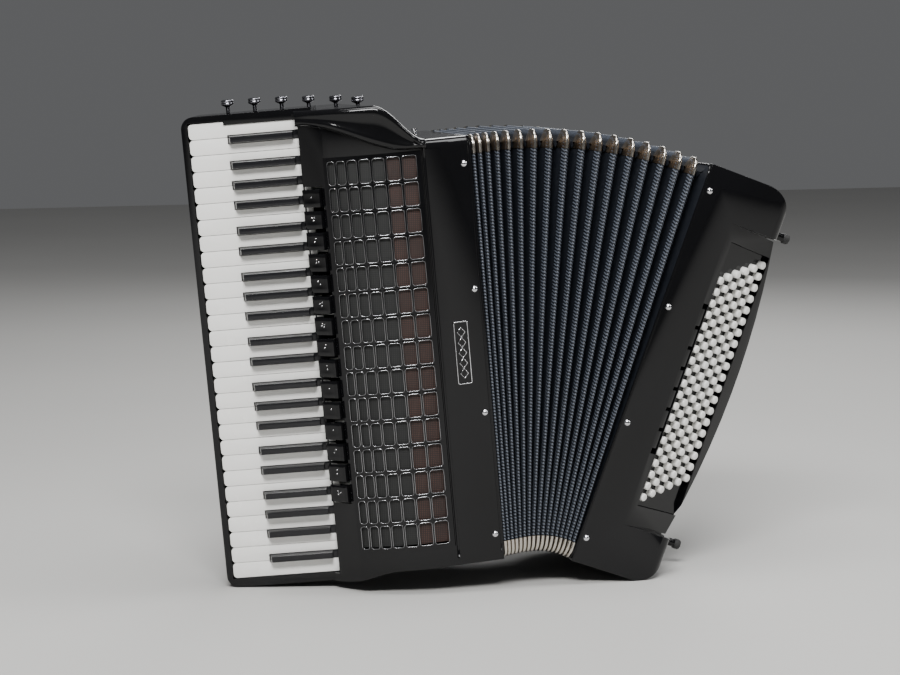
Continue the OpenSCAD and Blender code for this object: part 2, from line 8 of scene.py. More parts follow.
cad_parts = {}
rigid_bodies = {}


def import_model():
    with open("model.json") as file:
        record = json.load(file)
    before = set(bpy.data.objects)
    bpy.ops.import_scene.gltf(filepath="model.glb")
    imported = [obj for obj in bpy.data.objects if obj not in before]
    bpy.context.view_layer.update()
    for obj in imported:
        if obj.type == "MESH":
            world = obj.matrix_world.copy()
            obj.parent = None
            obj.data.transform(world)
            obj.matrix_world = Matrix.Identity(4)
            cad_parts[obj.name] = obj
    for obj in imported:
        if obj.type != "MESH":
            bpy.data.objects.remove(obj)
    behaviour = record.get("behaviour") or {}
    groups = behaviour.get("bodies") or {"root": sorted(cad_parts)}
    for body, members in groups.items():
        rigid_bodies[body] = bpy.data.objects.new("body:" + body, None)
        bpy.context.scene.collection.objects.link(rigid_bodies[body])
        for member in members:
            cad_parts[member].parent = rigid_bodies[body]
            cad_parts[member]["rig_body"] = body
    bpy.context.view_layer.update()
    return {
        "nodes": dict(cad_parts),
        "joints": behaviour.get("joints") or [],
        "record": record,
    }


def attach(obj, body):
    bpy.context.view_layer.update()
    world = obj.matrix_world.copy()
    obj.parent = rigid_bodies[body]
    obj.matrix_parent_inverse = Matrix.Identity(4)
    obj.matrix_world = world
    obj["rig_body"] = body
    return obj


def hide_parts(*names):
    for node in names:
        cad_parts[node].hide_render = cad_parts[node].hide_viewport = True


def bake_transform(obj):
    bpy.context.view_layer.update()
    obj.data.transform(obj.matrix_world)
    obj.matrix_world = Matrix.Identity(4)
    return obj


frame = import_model()
MM = 0.001
JOINTS = {j["name"]: j for j in frame["joints"]}
SHARES = {c["joint"]: c["ratio"] for c in frame["record"]["behaviour"]["couplings"]}

# ---------- the treble, key and bass frames, in millimetres, as the CAD has them ----------

DOWN = JOINTS["chin_register_press"]["axis"]
LEAN = math.atan2(DOWN[0], -DOWN[2])
FAN = math.radians(-JOINTS["bellows_fan"]["range_deg"][0])
PIVOT = Vector(JOINTS["bellows_fan"]["pos_m"])
PIVOT_X, PIVOT_Z = 46.0, -26.8
CASE_H, CASE_D = 495.0, 200.0
CLOSED_GAP = 75.0
FOLDS = 17
FOLD_PITCH = CLOSED_GAP / (FOLDS + 1)
BASS_W = 112.0
KEY_X, KEY_Y = -184.0, 70.6
KEY_TILT = math.radians(17)
CREASE_X = 46.0
BOARD_TILT = math.radians(31)

SCALE = Matrix.Scale(MM, 4)
AT_PIVOT = Matrix.Translation((PIVOT_X, CASE_D / 2, PIVOT_Z))
TREBLE = Matrix.Translation(PIVOT) @ Matrix.Rotation(-LEAN, 4, "Y") @ SCALE @ AT_PIVOT.inverted()


def fanned(angle):
    return TREBLE @ AT_PIVOT @ Matrix.Rotation(angle, 4, "Y") @ AT_PIVOT.inverted()


KEYS = TREBLE @ Matrix.Translation((KEY_X, KEY_Y, 0)) @ Matrix.Rotation(-KEY_TILT, 4, "Z")
BASS = fanned(FAN) @ Matrix.Translation((CLOSED_GAP, 0, 0))
BOARD = BASS @ Matrix.Translation((CREASE_X, 0, 0)) @ Matrix.Rotation(BOARD_TILT, 4, "Z")


def share(n):
    """How much of the fan angle fold n has; 0 is the treble side and 18 the bass side."""
    if n == 0:
        return 0.0
    if n == FOLDS + 1:
        return 1.0
    return SHARES[f"fold_{n:02d}_turn"]


# ---------- materials ----------


def new_material(name, base, roughness, metallic=0.0):
    """A principled material with the given colour, roughness and metalness."""
    mat = bpy.data.materials.new(name)
    mat.use_nodes = True
    tree = mat.node_tree
    shader = tree.nodes["Principled BSDF"]
    shader.inputs["Base Color"].default_value = (*base, 1)
    shader.inputs["Roughness"].default_value = roughness
    shader.inputs["Metallic"].default_value = metallic
    return mat, tree, shader


def add_noise(tree, scale, detail=4.0):
    where = tree.nodes.new("ShaderNodeTexCoord")
    noise = tree.nodes.new("ShaderNodeTexNoise")
    noise.inputs["Scale"].default_value = scale
    noise.inputs["Detail"].default_value = detail
    tree.links.new(where.outputs["Object"], noise.inputs["Vector"])
    return noise.outputs["Fac"]


def vary_colour(tree, shader, factor, low, high):
    ramp = tree.nodes.new("ShaderNodeMix")
    ramp.data_type = "RGBA"
    ramp.inputs["A"].default_value = (*low, 1)
    ramp.inputs["B"].default_value = (*high, 1)
    tree.links.new(factor, ramp.inputs["Factor"])
    tree.links.new(ramp.outputs["Result"], shader.inputs["Base Color"])


def vary_roughness(tree, shader, factor, low, high):
    spread = tree.nodes.new("ShaderNodeMapRange")
    spread.inputs["From Min"].default_value = 0.3
    spread.inputs["From Max"].default_value = 0.7
    spread.inputs["To Min"].default_value = low
    spread.inputs["To Max"].default_value = high
    tree.links.new(factor, spread.inputs["Value"])
    tree.links.new(spread.outputs["Result"], shader.inputs["Roughness"])


def add_bump(tree, shader, height, strength, distance):
    bump = tree.nodes.new("ShaderNodeBump")
    bump.inputs["Strength"].default_value = strength
    bump.inputs["Distance"].default_value = distance
    tree.links.new(height, bump.inputs["Height"])
    tree.links.new(bump.outputs["Normal"], shader.inputs["Normal"])


def lacquer():
    mat, tree, shader = new_material("black_lacquer", (0.003, 0.003, 0.003), 0.1)
    shader.inputs["Specular IOR Level"].default_value = 0.22
    shader.inputs["Coat Weight"].default_value = 0.25
    shader.inputs["Coat Roughness"].default_value = 0.03
    vary_roughness(tree, shader, add_noise(tree, 35), 0.07, 0.16)
    vary_colour(tree, shader, add_noise(tree, 9), (0.002, 0.002, 0.002), (0.004, 0.004, 0.005))
    return mat


def ivory():
    mat, tree, shader = new_material("white_key", (0.9, 0.89, 0.86), 0.2)
    shader.inputs["Coat Weight"].default_value = 0.5
    shader.inputs["Coat Roughness"].default_value = 0.08
    vary_roughness(tree, shader, add_noise(tree, 60), 0.16, 0.3)
    vary_colour(tree, shader, add_noise(tree, 14), (0.88, 0.87, 0.83), (0.93, 0.925, 0.90))
    return mat


def ebony():
    mat, tree, shader = new_material("black_key", (0.01, 0.01, 0.011), 0.2)
    shader.inputs["Specular IOR Level"].default_value = 0.25
    shader.inputs["Coat Weight"].default_value = 0.2
    shader.inputs["Coat Roughness"].default_value = 0.06
    vary_roughness(tree, shader, add_noise(tree, 80), 0.14, 0.26)
    vary_colour(tree, shader, add_noise(tree, 30), (0.007, 0.007, 0.008), (0.014, 0.014, 0.016))
    return mat


def chrome(name, base, low, high):
    mat, tree, shader = new_material(name, base, low, 1.0)
    vary_roughness(tree, shader, add_noise(tree, 90), low, high)
    vary_colour(tree, shader, add_noise(tree, 25), tuple(c * 0.85 for c in base), base)
    return mat


def wooden():
    mat, tree, shader = new_material("reed_wood", (0.5, 0.33, 0.18), 0.5)
    where = tree.nodes.new("ShaderNodeTexCoord")
    stretch = tree.nodes.new("ShaderNodeMapping")
    stretch.inputs["Scale"].default_value = (60, 60, 5)
    noise = tree.nodes.new("ShaderNodeTexNoise")
    noise.inputs["Scale"].default_value = 3
    noise.inputs["Detail"].default_value = 6
    tree.links.new(where.outputs["Object"], stretch.inputs["Vector"])
    tree.links.new(stretch.outputs["Vector"], noise.inputs["Vector"])
    vary_colour(tree, shader, noise.outputs["Fac"], (0.32, 0.19, 0.09), (0.62, 0.43, 0.25))
    add_bump(tree, shader, noise.outputs["Fac"], 0.3, 0.0004)
    return mat


def woven(name, low, high, pitch, roughness):
    """Fine mesh or cloth: crossed waves give the threads."""
    mat, tree, shader = new_material(name, high, roughness)
    where = tree.nodes.new("ShaderNodeTexCoord")
    threads = []
    for direction in ("X", "Z"):
        wave = tree.nodes.new("ShaderNodeTexWave")
        wave.wave_type = "BANDS"
        wave.bands_direction = direction
        wave.inputs["Scale"].default_value = 1 / (pitch * MM) / 6.3
        wave.inputs["Distortion"].default_value = 0.6
        tree.links.new(where.outputs["Object"], wave.inputs["Vector"])
        threads.append(wave.outputs["Fac"])
    weave = tree.nodes.new("ShaderNodeMath")
    weave.operation = "MULTIPLY"
    tree.links.new(threads[0], weave.inputs[0])
    tree.links.new(threads[1], weave.inputs[1])
    mixed = tree.nodes.new("ShaderNodeMath")
    mixed.operation = "MULTIPLY"
    tree.links.new(weave.outputs["Value"], mixed.inputs[0])
    tree.links.new(add_noise(tree, 40), mixed.inputs[1])
    vary_colour(tree, shader, mixed.outputs["Value"], low, high)
    add_bump(tree, shader, weave.outputs["Value"], 0.5, 0.0004)
    return mat


def grained(name, base, light, roughness, scale):
    """Leather, cloth tape or matt rubber with a fine grain."""
    mat, tree, shader = new_material(name, base, roughness)
    grain = add_noise(tree, scale, 8)
    vary_colour(tree, shader, grain, base, light)
    vary_roughness(tree, shader, add_noise(tree, scale / 3), roughness - 0.08, roughness + 0.1)
    add_bump(tree, shader, grain, 0.4, 0.0003)
    return mat


def rope_tape_painted_groove_shade():
    """Ribbed cloth tape; the ribs follow the mesh's own running length, slanted like a cord's twist. Its colour goes
    near black in the grooves between the ribs as painted shade.
    """
    mat, tree, shader = new_material("rope_tape_painted_groove_shade", (0.1, 0.12, 0.16), 0.45)
    where = tree.nodes.new("ShaderNodeUVMap")
    wave = tree.nodes.new("ShaderNodeTexWave")
    wave.wave_type = "BANDS"
    wave.bands_direction = "X"
    wave.wave_profile = "SIN"
    wave.inputs["Scale"].default_value = math.pi / 10
    wave.inputs["Distortion"].default_value = 0.0
    tree.links.new(where.outputs["UV"], wave.inputs["Vector"])
    # painted shade: the wave darkens the grooves between the ribs to near black; the crests keep the tape's own dark
    # blue-grey
    vary_colour(tree, shader, wave.outputs["Fac"], (0.004, 0.005, 0.007), (0.085, 0.098, 0.125))
    add_bump(tree, shader, wave.outputs["Fac"], 0.9, 0.0012)
    return mat


def backdrop_material():
    mat, tree, shader = new_material("pale_floor", (0.46, 0.455, 0.44), 0.75)
    vary_colour(tree, shader, add_noise(tree, 1.5), (0.44, 0.435, 0.42), (0.48, 0.475, 0.46))
    return mat


LACQUER = lacquer()
IVORY = ivory()
EBONY = ebony()
CHROME = chrome("chrome_trim", (0.80, 0.80, 0.82), 0.06, 0.16)
# painted reflection: the caps' silver metal is tinted warm and dimmed, standing in for the brownish reflections they
# carry
CAP_METAL_PAINTED_REFLECTION = chrome("caps_painted_warm_reflection", (0.62, 0.58, 0.52), 0.12, 0.26)
SMOKED = chrome("smoked_rims", (0.34, 0.34, 0.35), 0.10, 0.22)
# painted shade: a darker, browner copy of the cap metal for the flanks of the folds, standing in for their shade
PAINTED_SHADE_CAP_FLANK = chrome("painted_shade_cap_flanks", (0.30, 0.25, 0.20), 0.28, 0.42)
GUNMETAL = chrome("gunmetal", (0.20, 0.20, 0.22), 0.16, 0.32)
ALUMINIUM = chrome("plate_metal", (0.62, 0.62, 0.63), 0.3, 0.45)
WOOD = wooden()
DARK_MESH = woven("dark_mesh", (0.003, 0.003, 0.003), (0.035, 0.038, 0.036), 1.1, 0.6)
BROWN_MESH = woven("brown_mesh", (0.008, 0.004, 0.003), (0.13, 0.05, 0.034), 1.1, 0.6)
ROPE = rope_tape_painted_groove_shade()
CARD = grained("bellows_card", (0.004, 0.005, 0.007), (0.010, 0.012, 0.017), 0.42, 500)
LEATHER = grained("strap_leather", (0.02, 0.016, 0.014), (0.05, 0.04, 0.034), 0.5, 700)
RUBBER = grained("foot_rubber", (0.012, 0.012, 0.012), (0.03, 0.03, 0.03), 0.7, 900)
THREAD = grained("strap_thread", (0.30, 0.26, 0.20), (0.5, 0.45, 0.36), 0.7, 2000)

# ---------- mesh helpers ----------


def make_object(name, verts, faces, material, matrix, smooth=True):
    """A mesh object from points in millimetres of the frame that matrix gives."""
    mesh = bpy.data.meshes.new(name)
    mesh.from_pydata([tuple(v) for v in verts], [], [tuple(f) for f in faces])
    mesh.transform(matrix)
    if matrix.determinant() < 0:
        mesh.flip_normals()
    mesh.polygons.foreach_set("use_smooth", [smooth] * len(mesh.polygons))
    obj = bpy.data.objects.new(name, mesh)
    for m in material if isinstance(material, list) else [material]:
        mesh.materials.append(m)
    bpy.context.scene.collection.objects.link(obj)
    return obj


def apply_modifiers(obj):
    graph = bpy.context.evaluated_depsgraph_get()
    mesh = bpy.data.meshes.new_from_object(obj.evaluated_get(graph))
    obj.modifiers.clear()
    obj.data = mesh
    return obj


def fix_normals(obj):
    bm = bmesh.new()
    bm.from_mesh(obj.data)
    bmesh.ops.recalc_face_normals(bm, faces=bm.faces)
    bm.to_mesh(obj.data)
    bm.free()
    return obj


def rounded_copy(node, material, width, segments=3):
    """The CAD node's own shape with its sharp edges rounded, riding where the node rides."""
    source = frame["nodes"][node]
    body = source["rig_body"]
    bm = bmesh.new()
    bm.from_mesh(source.data)
    bmesh.ops.remove_doubles(bm, verts=bm.verts, dist=1e-5)
    bmesh.ops.dissolve_limit(bm, angle_limit=math.radians(1.5), verts=bm.verts, edges=bm.edges)
    mesh = bpy.data.meshes.new(node + "_look")
    bm.to_mesh(mesh)
    bm.free()
    obj = bpy.data.objects.new(node + "_look", mesh)
    bpy.context.scene.collection.objects.link(obj)
    bevel = obj.modifiers.new("round", "BEVEL")
    bevel.width = width * MM
    bevel.segments = segments
    bevel.limit_method = "ANGLE"
    bevel.angle_limit = math.radians(35)
    bevel.harden_normals = False
    bevel.use_clamp_overlap = True
    apply_modifiers(obj)
    obj.data.materials.clear()
    obj.data.materials.append(material)
    smooth_by_angle(obj, 40)
    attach(obj, body)
    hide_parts(node)
    return obj


def smooth_by_angle(obj, degrees):
    obj.data.polygons.foreach_set("use_smooth", [True] * len(obj.data.polygons))
    obj.data.set_sharp_from_angle(angle=math.radians(degrees))


def paint(node, material):
    mesh = frame["nodes"][node].data
    mesh.materials.clear()
    mesh.materials.append(material)


def lathe(profile, steps=28):
    """Points and faces of a turned shape; profile is [(radius, height)] from its foot to its top."""
    verts = []
    for r, h in profile:
        for k in range(steps):
            a = 2 * math.pi * k / steps
            verts.append((r * math.cos(a), r * math.sin(a), h))
    faces = []
    for i in range(len(profile) - 1):
        for k in range(steps):
            n = (k + 1) % steps
            faces.append((i * steps + k, i * steps + n, (i + 1) * steps + n, (i + 1) * steps + k))
    faces.append(tuple(range(steps))[::-1])
    faces.append(tuple((len(profile) - 1) * steps + k for k in range(steps)))
    return verts, faces


def many(parts):
    """Joins (verts, faces) pairs."""
    verts, faces = [], []
    for v, f in parts:
        base = len(verts)
        verts.extend(v)
        faces.extend(tuple(i + base for i in face) for face in f)
    return verts, faces


def moved(part, matrix):
    verts, faces = part
    return [tuple(matrix @ Vector(v)) for v in verts], faces


def tube(path, radius, sides=8, closed=True, squash=1.0, across=None):
    """A round bead along a path of points."""
    verts, faces = [], []
    n = len(path)
    points = [Vector(p) for p in path]
    for i, p in enumerate(points):
        ahead = points[(i + 1) % n] if closed or i < n - 1 else p
        behind = points[i - 1] if closed or i > 0 else p
        along = (ahead - behind).normalized()
        out = (across[i] if across else Vector((0, -1, 0))).normalized()
        side = along.cross(out).normalized()
        for k in range(sides):
            a = 2 * math.pi * k / sides
            verts.append(tuple(p + side * radius * math.cos(a) + out * radius * squash * math.sin(a)))
    for i in range(n if closed else n - 1):
        for k in range(sides):
            a, b = i * sides + k, i * sides + (k + 1) % sides
            c, d = (i + 1) % n * sides + (k + 1) % sides, (i + 1) % n * sides + k
            faces.append((a, b, c, d))
    if not closed:
        faces.append(tuple(range(sides)))
        faces.append(tuple((n - 1) * sides + k for k in range(sides))[::-1])
    return verts, faces


# ---------- keyboard ----------


def build_keys():
    for step in "defgabc":
        rounded_copy(f"key_{step}", IVORY, 0.8)
    for step in "dfgac":
        rounded_copy(f"key_{step}_sharp", EBONY, 1.3)
    paint("key_axle", ALUMINIUM)
    paint("foundation_plate", ALUMINIUM)
    paint("treble_reed_blocks", WOOD)
    rounded_copy("keyboard_frame", LACQUER, 3.0, 4)


CHIN_COUNT, CHIN_PITCH, CHIN_FIRST, CHIN_Y = 6, 31.2, -77.0, 14.0
CHIN_FOOT, CHIN_ARC = 538.5, 0.34


def build_chin_registers():
    """Mushroom knobs: stem, collar, fluted edge and a dished top."""
    profile = [(2.3, 0), (2.3, 10.4), (3.4, 11.4), (4.6, 11.8), (5.2, 12.4), (6.7, 13.0), (7.2, 13.8),
               (7.2, 15.2), (6.8, 15.6), (6.8, 16.1), (7.2, 16.5), (7.1, 18.0), (6.5, 18.7), (5.3, 19.0),
               (4.6, 18.7), (2.0, 18.2), (0.3, 18.1)]
    parts = []
    for k in range(CHIN_COUNT):
        x = CHIN_FIRST + CHIN_PITCH * k - (6 if k == CHIN_COUNT - 1 else 0)
        drop = CHIN_ARC * k * k
        lowered = [(r, h if h == 0 else h - drop) for r, h in profile]
        parts.append(moved(lathe(lowered, 32), Matrix.Translation((x, CHIN_Y, CHIN_FOOT))))
    obj = make_object("chin_knobs", *many(parts), GUNMETAL, KEYS)
    smooth_by_angle(obj, 50)
    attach(obj, "chin_registers_body")
    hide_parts("chin_registers")


# ---------- treble case front ----------

CURVE_X, CURVE_R = -60.0, 191.8
CURVE_Y = 2 + CURVE_R
GRILLE_Z0, GRILLE_Z1 = 24.0, 484.0
GRILLE_END = math.asin((CURVE_X + 163) / CURVE_R)
ROWS, COLS = 15, 7
ROW_PITCH, ROW_TOP = 30.3, 466.0
FIRST_ARC = 0.8
BAR_W, WINDOW_H, WINDOW_R = 2.2, 27.0, 3.2


def on_curve(arc, z, inward=0.0):
    """A point of the curved front; arc is measured from the front strip towards the keyboard."""
    a = arc / CURVE_R
    r = CURVE_R - inward
    return (CURVE_X - r * math.sin(a), CURVE_Y - r * math.cos(a), z)


def column_width(c):
    return 19 - 1.35 * c


def column_start(c):
    return FIRST_ARC + sum(column_width(i) for i in range(c))


def rounded_loop(x0, z0, x1, z1, r, steps=5):
    """Rounded rectangle, and the matching points on its square corners."""
    inner, corners = [], []
    for cx, cz, start, sx, sz in ((x1 - r, z1 - r, 0, 1, 1), (x0 + r, z1 - r, 90, -1, 1),
                                  (x0 + r, z0 + r, 180, -1, -1), (x1 - r, z0 + r, 270, 1, -1)):
        for k in range(steps + 1):
            a = math.radians(start + 90 * k / steps)
            inner.append((cx + r * math.cos(a), cz + r * math.sin(a)))
            corners.append((sx, sz, k / steps))
    return inner, corners


def cell_edge(x0, z0, x1, z1, corner):
    """The cell's square corner on the side that a corner point faces."""
    sx, sz, t = corner
    x = x1 if sx > 0 else x0
    z = z1 if sz > 0 else z0
    return x, z


def build_grille():
    body, rims = [], []
    for c in range(COLS):
        a0, a1 = column_start(c), column_start(c) + column_width(c)
        for r in range(ROWS):
            mid = ROW_TOP - r * ROW_PITCH
            z0, z1 = mid - ROW_PITCH / 2, mid + ROW_PITCH / 2
            w0, w1 = a0 + BAR_W / 2, a1 - BAR_W / 2
            loop, corners = rounded_loop(w0, mid - WINDOW_H / 2, w1, mid + WINDOW_H / 2, WINDOW_R)
            n = len(loop)
            outer = [cell_edge(a0, z0, a1, z1, k) for k in corners]
            verts = [on_curve(a, z, -0.4) for a, z in outer]
            verts += [on_curve(a, z, -0.4) for a, z in loop]
            verts += [on_curve(a, z, 2.1) for a, z in loop]
            faces = []
            for i in range(n):
                j = (i + 1) % n
                if (Vector(verts[i]) - Vector(verts[j])).length > 1e-6:
                    faces.append((i, n + i, n + j, j))
                else:
                    faces.append((i, n + i, n + j))
                faces.append((n + i, 2 * n + i, 2 * n + j, n + j))
            body.append((verts, faces))
            path = [on_curve(a, z, -0.5) for a, z in loop]
            out = [Vector((CURVE_X - p[0], CURVE_Y - p[1], 0)) * -1 for p in path]
            rims.append(tube(path, 0.42, 6, across=out))
    a_end = column_start(COLS - 1) + column_width(COLS - 1)
    top, low = ROW_TOP + ROW_PITCH / 2, ROW_TOP - (ROWS - 0.5) * ROW_PITCH
    edge = GRILLE_END * CURVE_R
    for a0, a1, z0, z1 in ((-4.0, FIRST_ARC, GRILLE_Z0, GRILLE_Z1), (a_end, edge, GRILLE_Z0, GRILLE_Z1),
                           (FIRST_ARC, a_end, top, GRILLE_Z1), (FIRST_ARC, a_end, GRILLE_Z0, low)):
        steps = max(1, round((a1 - a0) / 4))
        arcs = [a0 + (a1 - a0) * i / steps for i in range(steps + 1)]
        verts = [on_curve(a, z, -0.4) for a in arcs for z in (z0, z1)]
        body.append((verts, [(2 * i, 2 * i + 1, 2 * i + 3, 2 * i + 2) for i in range(steps)]))
    shell = make_object("grille_windows", *many(body), LACQUER, TREBLE)
    fix_normals(shell)
    smooth_by_angle(shell, 40)
    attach(shell, "treble")
    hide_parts("treble_grille")
    rim = make_object("grille_rims", *many(rims), SMOKED, TREBLE)
    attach(rim, "treble")


def build_screen():
    """Cloth behind the windows: brown behind the two columns beside the strip, dark elsewhere."""
    change = column_start(2)
    end = GRILLE_END * CURVE_R - 3
    for name, a0, a1, mat in (("screen_brown", 0.2, change, BROWN_MESH), ("screen_dark", change, end, DARK_MESH)):
        columns, rows = 24, 60
        verts, faces = [], []
        for i in range(columns + 1):
            for j in range(rows + 1):
                arc = a0 + (a1 - a0) * i / columns
                z = GRILLE_Z0 + 6 + (GRILLE_Z1 - GRILLE_Z0 - 12) * j / rows
                sag = 0.25 * math.sin(arc * 0.9) * math.sin(z * 0.21)
                verts.append(on_curve(arc, z, 3.0 + sag))
        for i in range(columns):
            for j in range(rows):
                k = i * (rows + 1) + j
                faces.append((k, k + rows + 1, k + rows + 2, k + 1))
        obj = make_object(name, verts, faces, mat, TREBLE)
        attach(obj, "treble")
        if name == "screen_dark":
            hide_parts("grille_screen")


PANEL = ((-188.0, 62.0), (-163.0, 31.0))
REGISTERS, REGISTER_PITCH, REGISTER_TOP = 15, 24.6, 439.0
DOTS = (1, 3, 2, 3, 2, 3, 4, 2, 2, 1, 1, 1, 2, 2, 3)


def panel_frame():
    (x0, y0), (x1, y1) = PANEL
    angle = math.atan2(y0 - y1, x1 - x0)
    length = math.hypot(x1 - x0, y0 - y1)
    return TREBLE @ Matrix.Translation((x0, y0, 0)) @ Matrix.Rotation(-angle, 4, "Z"), length


def build_treble_registers():
    """Rocker tabs with a dished face, each marked with its own group of silver dots."""
    place, length = panel_frame()
    w, h = 25.0, 20.0
    x0 = (length - w) / 2
    tabs, dots = [], []
    nx, nz = 10, 8
    for k in range(REGISTERS):
        zc = REGISTER_TOP - k * REGISTER_PITCH
        verts = []
        for i in range(nx + 1):
            for j in range(nz + 1):
                u, v = i / nx, j / nz
                edge = min(u, 1 - u, v, 1 - v)
                lip = 1.4 * (1 - min(1, edge / 0.09)) ** 2
                dish = 0.9 * math.sin(math.pi * u) * math.sin(math.pi * v)
                verts.append((x0 + w * u, -5 + lip + dish, zc - h / 2 + h * v))
        faces = []
        for i in range(nx):
            for j in range(nz):
                a = i * (nz + 1) + j
                faces.append((a, a + nz + 1, a + nz + 2, a + 1))
        rim = [i * (nz + 1) for i in range(nx + 1)]
        rim += [nx * (nz + 1) + j for j in range(1, nz + 1)]
        rim += [i * (nz + 1) + nz for i in range(nx - 1, -1, -1)]
        rim += [j for j in range(nz - 1, 0, -1)]
        base = len(verts)
        verts += [(verts[i][0], 3.0, verts[i][2]) for i in rim]
        for i in range(len(rim)):
            j = (i + 1) % len(rim)
            faces.append((rim[i], rim[j], base + j, base + i))
        tabs.append((verts, faces))
        count = DOTS[k]
        for d in range(count):
            if count == 1:
                dx, dz = 0, 0
            else:
                turn = 2 * math.pi * d / count + 0.6 * k
                dx, dz = 2.3 * math.cos(turn), 2.3 * math.sin(turn)
            dome = lathe([(1.05, -0.4), (1.0, 0.2), (0.7, 0.55), (0.2, 0.7)], 12)
            turn_out = Matrix.Rotation(math.radians(90), 4, "X")
            spot = Matrix.Translation((x0 + w * 0.52 + dx, -4.2, zc + 1.5 + dz))
            dots.append(moved(dome, spot @ turn_out))
    obj = make_object("treble_register_tabs", *many(tabs), LACQUER, place)
    fix_normals(obj)
    smooth_by_angle(obj, 50)
    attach(obj, "treble_registers_body")
    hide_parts("treble_registers")
    marks = make_object("treble_register_dots", *many(dots), CHROME, place)
    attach(marks, "treble_registers_body")


def ease(t):
    t = min(1.0, max(0.0, t))
    return (1 - math.cos(math.pi * t)) / 2


def front_y(x):
    """Depth of the treble front at x."""
    if x > CURVE_X:
        return 0.0
    if x > -163:
        return CURVE_Y - math.sqrt(CURVE_R ** 2 - (x - CURVE_X) ** 2)
    return 32 + (-163 - x) * 1.2


def shoulder_top(x):
    return CASE_H + 43 * (1 - ease((x + 108) / 60))


def swoosh(x):
    """Lower edge of the shoulder, sweeping down from the keyboard to the front strip."""
    return 486 + 36 * (1 - ease((x + 186) / 116))


def build_shoulder():
    """The raised, polished shoulder above the grille, lofted along x."""
    steps = 56
    verts, faces = [], []
    section = 15
    for i in range(steps + 1):
        x = -186 + (136 * i / steps)
        fade = ease((x + 186) / 18) * (1 - ease((x + 66) / 16))
        y = front_y(x)
        low, top = swoosh(x), shoulder_top(x)
        lift = 1.2 + 6.0 * fade
        for k in range(section):
            t = k / (section - 1)
            if t < 0.3:
                s = t / 0.3
                yy = y + 3 - (lift + 3) * math.sin(s * math.pi / 2)
                zz = low + 5.0 * (1 - math.cos(s * math.pi / 2))
            elif t < 0.7:
                s = (t - 0.3) / 0.4
                zz = low + 5.0 + (top - 5.5 - low - 5.0) * s
                yy = y - lift * (1 - 0.35 * math.sin(math.pi * s))
            else:
                s = (t - 0.7) / 0.3
                yy = y - lift + 5.5 * (1 - math.cos(s * math.pi / 2)) + 0.2
                zz = top - 5.5 + 5.7 * math.sin(s * math.pi / 2)
            verts.append((x, yy, zz))
    for i in range(steps):
        for k in range(section - 1):
            a = i * section + k
            faces.append((a, a + 1, a + section + 1, a + section))
    obj = make_object("treble_shoulder", verts, faces, LACQUER, TREBLE)
    thick = obj.modifiers.new("thick", "SOLIDIFY")
    thick.thickness = 1.5 * MM
    thick.offset = 0
    apply_modifiers(obj)
    fix_normals(obj)
    smooth_by_angle(obj, 60)
    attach(obj, "treble")


def build_name_plate():
    """A silver outline with a plain row of lozenges where such an instrument has its name."""
    x0, x1, z0, z1, y = -35.5, -19.5, 212.0, 284.0, -0.3
    loop, _ = rounded_loop(x0, z0, x1, z1, 1.8)
    parts = [tube([(x, y, z) for x, z in loop], 0.6, 6)]
    xm = (x0 + x1) / 2
    for k in range(5):
        zm = z0 + 12 + k * (z1 - z0 - 24) / 4
        path = [(xm - 4.6, y, zm), (xm, y, zm + 5.6), (xm + 4.6, y, zm), (xm, y, zm - 5.6)]
        parts.append(tube(path, 0.55, 6))
    obj = make_object("name_plate", *many(parts), CHROME, TREBLE)
    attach(obj, "treble")


def build_strip_edge():
    """Fine lacquer bead where the front strip meets the bellows frame, and the bead beside the grille."""
    parts = []
    for x, radius in ((-1.2, 0.45), (-52.5, 1.4)):
        path = [(x, -0.1 if radius < 1 else 0.6, 9 + (CASE_H - 18) * i / 40) for i in range(41)]
        parts.append(tube(path, radius, 8, closed=False))
    obj = make_object("strip_beads", *many(parts), LACQUER, TREBLE)
    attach(obj, "treble")


def build_treble_case():
    rounded_copy("treble_case", LACQUER, 3.0, 4)
    rounded_copy("treble_back_cover", LACQUER, 0.8)
    rounded_copy("treble_bellows_frame", LACQUER, 0.4)
    paint("treble_fittings", CHROME)
    build_grille()
    build_screen()
    build_treble_registers()
    build_shoulder()
    build_name_plate()
    build_strip_edge()


# ---------- bellows ----------

RIDGE_INSET = 1.0
VALLEY = 20.0
CORNER_R = 12.0
TAPE = 0.32
CAP_FLANK_REACH = 0.75
ROPE_PITCH, ROPE_STEP, ROPE_SLANT = 3.8, 0.95, 0.09
CAP_LENGTH = 21.0


